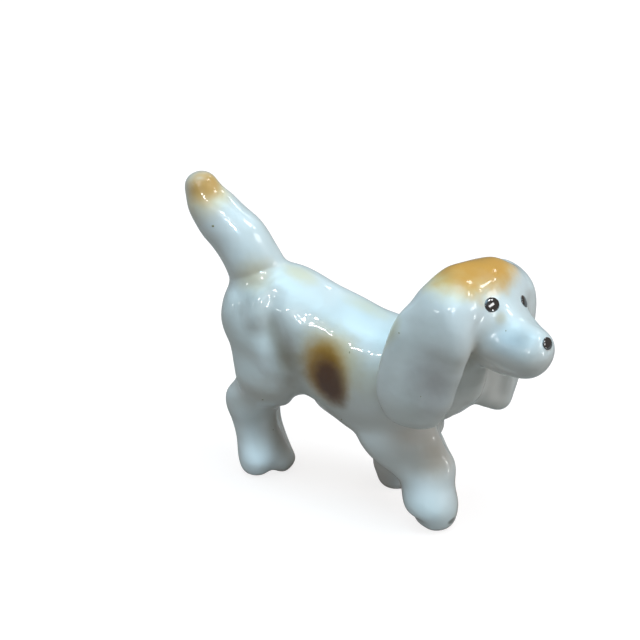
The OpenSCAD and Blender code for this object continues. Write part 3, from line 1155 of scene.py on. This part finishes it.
@dataclass(frozen=True)
class Specks:
    """Iron specks that came through the glaze, scattered at random."""

    per_square_metre: float = 3200.0
    size: float = 0.2
    seed: int = 7
    smallest: Point = (0.35, 0.35, 0.2)
    largest: Point = (1.6, 1.3, 0.45)

    def tree(self) -> Tree:
        """Builds the node tree that scatters flat grains over a skin.

        Returns:
            The tree.
        """
        tree = bpy.data.node_groups.new("iron_specks", "GeometryNodeTree")
        sockets = {"Skin": "Geometry", "Per Square Metre": "Float", "Size": "Float", "Seed": "Int"}
        for name, kind in (sockets | {"Material": "Material"}).items():
            tree.interface.new_socket(name, in_out="INPUT", socket_type=f"NodeSocket{kind}")
        tree.interface.new_socket("Specks", in_out="OUTPUT", socket_type="NodeSocketGeometry")
        given = add(tree, "NodeGroupInput").outputs
        scatter = add(tree, "GeometryNodeDistributePointsOnFaces", {
            "Mesh": given["Skin"], "Density": given["Per Square Metre"], "Seed": given["Seed"],
        }, distribute_method="RANDOM").outputs
        grain = add(tree, "GeometryNodeMeshIcoSphere", {"Radius": 1.0, "Subdivisions": 2})
        least, most = (
            add(tree, "ShaderNodeVectorMath", {0: grown, "Scale": given["Size"]}, operation="SCALE")
            for grown in (self.smallest, self.largest)
        )
        sizes = add(tree, "FunctionNodeRandomValue", {
            0: least.outputs[0], 1: most.outputs[0], "Seed": given["Seed"],
        }, data_type="FLOAT_VECTOR")
        place = add(tree, "GeometryNodeInstanceOnPoints", {
            "Points": scatter["Points"], "Rotation": scatter["Rotation"],
            "Instance": grain.outputs["Mesh"], "Scale": sizes.outputs[0],
        })
        solid = add(tree, "GeometryNodeRealizeInstances", {0: place.outputs[0]})
        dressed = {"Geometry": solid.outputs[0], "Material": given["Material"]}
        dress = add(tree, "GeometryNodeSetMaterial", dressed)
        add(tree, "NodeGroupOutput", {"Specks": dress.outputs[0]})
        return tree

    def build(self, points: np.ndarray, triangles: np.ndarray) -> bpy.types.Object:
        """Scatters the specks over a skin and makes one plain mesh of them.

        Args:
            points: points of the skin.
            triangles: its faces.

        Returns:
            The specks.
        """
        skin = bpy.data.meshes.new("speck_skin")
        skin.from_pydata((points * MM).tolist(), [], triangles.tolist())
        specks = put("iron_specks", skin)
        modifier = specks.modifiers.new("scatter", "NODES")
        modifier.node_group = self.tree()
        values = {"Per Square Metre": self.per_square_metre, "Size": self.size * MM, "Seed": self.seed}
        values["Material"] = SpeckFinish().build("iron_speck")
        for item in modifier.node_group.interface.items_tree:
            if item.name in values:
                modifier[item.identifier] = values[item.name]
        ready = specks.evaluated_get(bpy.context.evaluated_depsgraph_get())
        mesh = bpy.data.meshes.new_from_object(ready)
        specks.modifiers.remove(modifier)
        specks.data = mesh
        bpy.data.meshes.remove(skin)
        return specks


@dataclass(frozen=True)
class Glow:
    """One soft bright part of the room, seen from the figure."""

    towards: Point
    spread: float
    colour: str
    strength: float


@dataclass(frozen=True)
class Lamp:
    """A rectangular lamp that faces the figure and may show as a highlight in the glaze."""

    name: str
    towards: Point
    size: tuple[float, float]
    radiance: float
    falls: Falls = Falls.EVERYWHERE
    faces: Point = (0, 0, 35)
    away: float = 900.0

    def hang(self) -> None:
        """Hangs the lamp. At a radiance of one it is as bright as white."""
        data = bpy.data.lights.new(self.name, "AREA")
        data.shape = "RECTANGLE"
        data.size, data.size_y = (side * MM for side in self.size)
        data.energy = self.radiance * math.pi * data.size * data.size_y
        hung = put_facing(self.name, data, self.faces, Vector(self.towards).normalized(), self.away)
        hung.visible_diffuse = self.falls is not Falls.GLAZE
        hung.visible_glossy = self.falls is not Falls.BODY


@dataclass(frozen=True)
class Beam:
    """A narrow soft beam of window light on one place, and what it adds to a white surface there."""

    name: str
    aim: Point
    width: float
    strength: float
    towards: Point = (0.3, -0.82, 0.48)
    away: float = 300.0
    softness: float = 4.0
    colour: str = "#c4e8ff"

    def shine(self) -> None:
        """Sends the beam down from the camera's side."""
        data = bpy.data.lights.new(self.name, "SPOT")
        data.spot_size = 2 * math.atan(self.width / 2 / self.away)
        data.spot_blend = 1.0
        data.shadow_soft_size = self.softness * MM
        data.energy = self.strength * math.pi * 4 * math.pi * (self.away * MM) ** 2
        data.color = linear(self.colour)[:3]
        put_facing(self.name, data, self.aim, Vector(self.towards).normalized(), self.away)


RAIL = (
    (0.31, -0.64, 0.7), (0.23, -0.76, 0.61), (0.2, -0.71, 0.67),
    (0.23, -0.59, 0.77), (0, -0.67, 0.75), (-0.09, -0.72, 0.69),
)
LAMPS = (
    Lamp("roof_window", (0.6, 0.14, 0.79), (170, 90), 12),
    Lamp("roof_window_pane", (0.68, 0.28, 0.68), (80, 60), 12),
    Lamp("back_window", (0.3, 0.68, 0.67), (150, 90), 7),
    Lamp("side_window", (-0.58, -0.72, 0.38), (95, 70), 9),
    Lamp("bench_window", (0.88, 0.06, 0.46), (300, 110), 15, Falls.BODY),
    Lamp("bench_window_pane", (0.87, -0.02, 0.5), (360, 130), 4.5, Falls.GLAZE),
    Lamp("door_window", (1, -0.12, 0.06), (60, 150), 14, Falls.GLAZE),
    *(Lamp(f"rail_lamp_{i}", towards, (30, 30), 90, Falls.GLAZE) for i, towards in enumerate(RAIL, 1)),
)
BEAMS = (
    Beam("tail_beam", (-24.6, -4.2, 56), 17, 0.22),
    Beam("tail_root_beam", (-23, -5.2, 50.4), 12, 0.14),
    Beam("ear_beam", (22, -12.8, 49), 8, 0.3),
    Beam("hind_paw_beam", (-22.8, -6.3, 5.8), 8, 1.2),
    Beam("hind_shin_beam", (-24.4, -6.4, 14), 5, 1),
    Beam("front_paw_beam", (18.2, -10.5, 7), 17, 0.5),
    Beam("thigh_beam", (-16.8, -10.9, 32.4), 5.5, 0.85),
)


@dataclass(frozen=True)
class Studio:
    """Camera, floor and lights. The camera's scale is in millimetres for each pixel of the picture."""

    target: Point = (-10.027, -0.3, 38.5)
    azimuth: float = 22.333
    elevation: float = 28.0
    distance: float = 277.9
    scale: float = 0.201014
    picture: int = 640
    sensor: float = 36.0
    room: str = "#796b5c"
    board: str = "#857f79"
    pale: str = "#9c8f8a"
    pale_glow: float = 0.8
    floor_shown: float = 0.1
    dimmed: float = 0.6
    glows: tuple[Glow, ...] = (
        Glow((0.08, -0.1, 0.99), 14, "#bae8ff", 7.7),
        Glow((-0.9, -0.3, 0.2), 8, "#cfeaff", 0.5),
    )

    def camera(self) -> None:
        """Makes the camera at the photograph's viewing angle."""
        data = bpy.data.cameras.new("camera")
        data.sensor_width = self.sensor
        data.lens = self.sensor * self.distance / self.scale / self.picture
        data.clip_start = 10 * MM
        az, el = math.radians(self.azimuth), math.radians(self.elevation)
        out = Vector((math.sin(az) * math.cos(el), -math.cos(az) * math.cos(el), math.sin(el)))
        bpy.context.scene.camera = put_facing("camera", data, self.target, out, self.distance)

    def shown(self, tree: Tree, glossy: float) -> Socket:
        """Builds the share of the plain white background for a ray.

        Args:
            tree: tree that gets the nodes.
            glossy: share for a ray that was reflected by the object.

        Returns:
            Socket that is one for a ray from the camera or through glass.
        """
        path = add(tree, "ShaderNodeLightPath").outputs
        seen = compute(tree, "MAXIMUM", path["Is Camera Ray"], path["Is Transmission Ray"])
        mirrored = compute(tree, "MULTIPLY", path["Is Glossy Ray"], glossy)
        return compute(tree, "MAXIMUM", seen, mirrored)

    def surroundings(self) -> None:
        """Sets the room: dim and plain, with soft glows, and white to the camera."""
        world = bpy.data.worlds.new("room")
        bpy.context.scene.world = world
        world.use_nodes = True
        tree = world.node_tree
        tree.nodes.clear()
        where = add(tree, "ShaderNodeTexCoord").outputs["Generated"]
        total = add(tree, "ShaderNodeBackground", {"Color": linear(self.room)}).outputs[0]
        # In the glaze the glows show dimmed, so that they don't veil it
        mirrored = add(tree, "ShaderNodeLightPath").outputs["Is Glossy Ray"]
        dimming = compute(tree, "MULTIPLY_ADD", mirrored, -self.dimmed, 1.0)
        for glow in self.glows:
            ways = {0: where, 1: Vector(glow.towards).normalized()}
            facing = add(tree, "ShaderNodeVectorMath", ways, operation="DOT_PRODUCT")
            front = compute(tree, "MAXIMUM", facing.outputs["Value"], 0.0)
            share = compute(tree, "POWER", front, glow.spread)
            amount = compute(tree, "MULTIPLY", share, glow.strength)
            dimmed = compute(tree, "MULTIPLY", amount, dimming)
            colour = {"Color": linear(glow.colour), "Strength": dimmed}
            light = add(tree, "ShaderNodeBackground", colour).outputs[0]
            total = add(tree, "ShaderNodeAddShader", {0: total, 1: light}).outputs[0]
        white = add(tree, "ShaderNodeBackground", {"Color": (1, 1, 1, 1)}).outputs[0]
        layers = {0: self.shown(tree, 0.0), 1: total, 2: white}
        mix = add(tree, "ShaderNodeMixShader", layers).outputs[0]
        add(tree, "ShaderNodeOutputWorld", {0: mix})

    def floor(self) -> None:
        """Lays the plain pale floor. To the camera it is white apart from the figure's faint shadow."""
        half = 3000 * MM
        mesh = bpy.data.meshes.new("floor")
        corners = [(-half, -half, 0), (half, -half, 0), (half, half, 0), (-half, half, 0)]
        mesh.from_pydata(corners, [], [(0, 1, 2, 3)])
        floor = put("floor", mesh)
        # Pale floor: a matt board to the light, nearly shadowless white to the camera
        material = bpy.data.materials.new("pale_floor")
        material.use_nodes = True
        tree = material.node_tree
        tree.nodes.clear()
        board = add(tree, "ShaderNodeBsdfDiffuse", {"Color": linear(self.board)}).outputs[0]
        pale = add(tree, "ShaderNodeBsdfDiffuse", {"Color": linear(self.pale)}).outputs[0]
        glow = add(tree, "ShaderNodeEmission", {"Strength": self.pale_glow}).outputs[0]
        lit = add(tree, "ShaderNodeAddShader", {0: pale, 1: glow}).outputs[0]
        layers = {0: self.shown(tree, self.floor_shown), 1: board, 2: lit}
        mix = add(tree, "ShaderNodeMixShader", layers).outputs[0]
        add(tree, "ShaderNodeOutputMaterial", {"Surface": mix})
        mesh.materials.append(material)
        floor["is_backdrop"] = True

    def build(self) -> None:
        """Sets up the whole studio."""
        bpy.context.scene.view_settings.view_transform = "Standard"
        self.camera()
        self.surroundings()
        self.floor()
        for lamp in LAMPS:
            lamp.hang()
        for beam in BEAMS:
            beam.shine()


SPRAYS = (
    # Brown patch on the right flank: an olive haze, a tan body and a dark core
    Spray("flank_haze", (-4.4, -8.5, 34.6), (9, 8, 10.6), "#dcc48e", 0.8, 0.3, 0.4, turn=(0, -14, 0)),
    Spray("flank_tan", (-4.8, -10.2, 32.8), (6, 6, 9.8), "#b98633", 0.95, 0.4, 0.35, turn=(0, -14, 0)),
    Spray("flank_core", (-4, -10.4, 30.7), (4.8, 5, 8.2), "#5e3002", 1, 0.3, 0.35, turn=(0, -14, 0)),
    # Ochre cap over the skull and the roots of the ears
    Spray("cap_haze", (20.5, -2.5, 59), (15.5, 15.5, 8.1), "#f3d284", 0.85, 0.5, 0.3),
    Spray("cap", (23.2, -1.4, 59.4), (14.4, 14.8, 7.5), "#e39e42", 0.92, 0.4, 0.45),
    # Ochre tip of the tail
    Spray("tail_haze", (-33.4, -2, 63), (6.2, 6.4, 7.4), "#efce8c", 0.75, 0.3, 0.3, turn=(0, 35, 0)),
    Spray("tail_tip", (-33.8, -2.2, 64.6), (4.7, 5.2, 5.4), "#dda552", 0.85, 0.3, 0.3, turn=(0, 35, 0)),
    # Faint overspray at the tail's root, under the eye and on the back; a faint warm tint on the near
    # foreleg and beside the near ear
    Spray("root_haze", (-22.2, -4.6, 48.4), (6.2, 5.6, 5.4), "#dcc9a6", 0.7, 0.1, 0.5),
    Spray("eye_smudge", (28.8, -7.6, 50.3), (1.6, 2, 1.8), "#c9b48c", 0.5, 0.2, 0.4),
    Spray("foreleg_haze", (18.1, -7.9, 17.6), (6, 5, 9), "#c9b49c", 0.55, 0, 0.4),
    Spray("back_haze", (-14, -1, 48.4), (5.5, 3.6, 2.4), "#ead9ae", 0.6, 0.2, 0.6, turn=(0, 20, 0)),
    Spray("ridge_haze", (0.5, 0.6, 43.4), (8, 3.6, 2.2), "#eedfba", 0.5, 0.2, 0.7, turn=(0, 12, 0)),
    Spray("ear_haze", (8.6, -11.6, 46), (4, 4, 4.6), "#d3c69c", 0.55, 0.1, 0.7),
    # Shade that the photo shows on the white glaze, painted in
    Spray("cheek_shade", (24.2, -10, 45), (2, 4, 5.4), "#b9ab92", 0.65, 0.1, 0.6),
    Spray("thigh_shade", (-12.8, -9.9, 33), (5.8, 4.6, 10.2), "#8b7b64", 0.78, 0, 0.4, turn=(0, -8, 0)),
    # Painted shade: warm grey low on the middle of the near flank
    Spray("flank_painted_shade", (3.2, -9.8, 33), (7, 4.6, 8), "#cbbd9e", 0.45, 0, 0.4),
    Spray("groin_shade", (-18.6, -9.6, 26.4), (7, 5, 4.8), "#b3a698", 0.5, 0, 0.4),
    Spray("ear_shade", (18, -14.2, 38), (6.8, 3.8, 11.5), "#978d8e", 0.68, 0, 0.3),
    Spray("muzzle_shade", (31.4, -10.6, 47.8), (7, 5.2, 4.6), "#a0adb4", 0.75, 0, 0.3),
    Spray("far_shin_shade", (-18.6, -1, 12), (4, 4.4, 11), "#aa9e8f", 0.5, 0.1, 0.4),
    # Chip at the toe of the near front paw
    Spray("toe_chip", (21.5, -7.9, 3), (1.3, 1.3, 1), "#77736a", 0.85, 0.4, 1.2),
)


def model_figure() -> Clay:
    """Models the whole figure in clay.

    Returns:
        The block, joined, worked over, filled and ground flat at the soles.
    """
    facets, slip = 1.1, 2.6
    bead_names = [bead.name for bead in BEADS]
    clay = Clay()
    clay.load([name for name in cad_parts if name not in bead_names], "torso")
    forms = (Torso(), Head(), Ears(), Tail(), Legs())
    clay.lay([roll for form in forms for roll in form.rolls])
    clay.apply([stroke for form in forms for stroke in form.strokes])
    clay.smooth_joints([fillet for form in forms for fillet in form.fillets], facets, slip)
    clay.cut_flat(0.0)
    return clay


def main() -> None:
    """Builds the figure and the studio, and reports each piece."""
    logging.basicConfig(level=logging.INFO, format="%(name)s: %(message)s")
    Studio().build()
    clay = model_figure()
    points, triangles = clay.surface()
    glaze = GlazeFinish(sprays=SPRAYS).build("porcelain_glaze")
    for part in cut_apart(clay, points, triangles):
        name = part.name
        part.name = f"{name}_glazed"
        piece = part.make()
        piece.data.materials.append(glaze)
        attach(piece, "root")
        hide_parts(name)
        log.info("%s: %d triangles", piece.name, len(part.triangles))
    enamel = EnamelFinish().build("black_enamel")
    for bead in BEADS:
        drop = bead.build(clay, enamel)
        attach(drop, "root")
        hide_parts(bead.name)
        log.info("%s: %d faces", drop.name, len(drop.data.polygons))
    specks = Specks().build(points, triangles)
    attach(specks, "root")
    log.info("%s: %d faces", specks.name, len(specks.data.polygons))


if __name__ == "__main__":
    main()
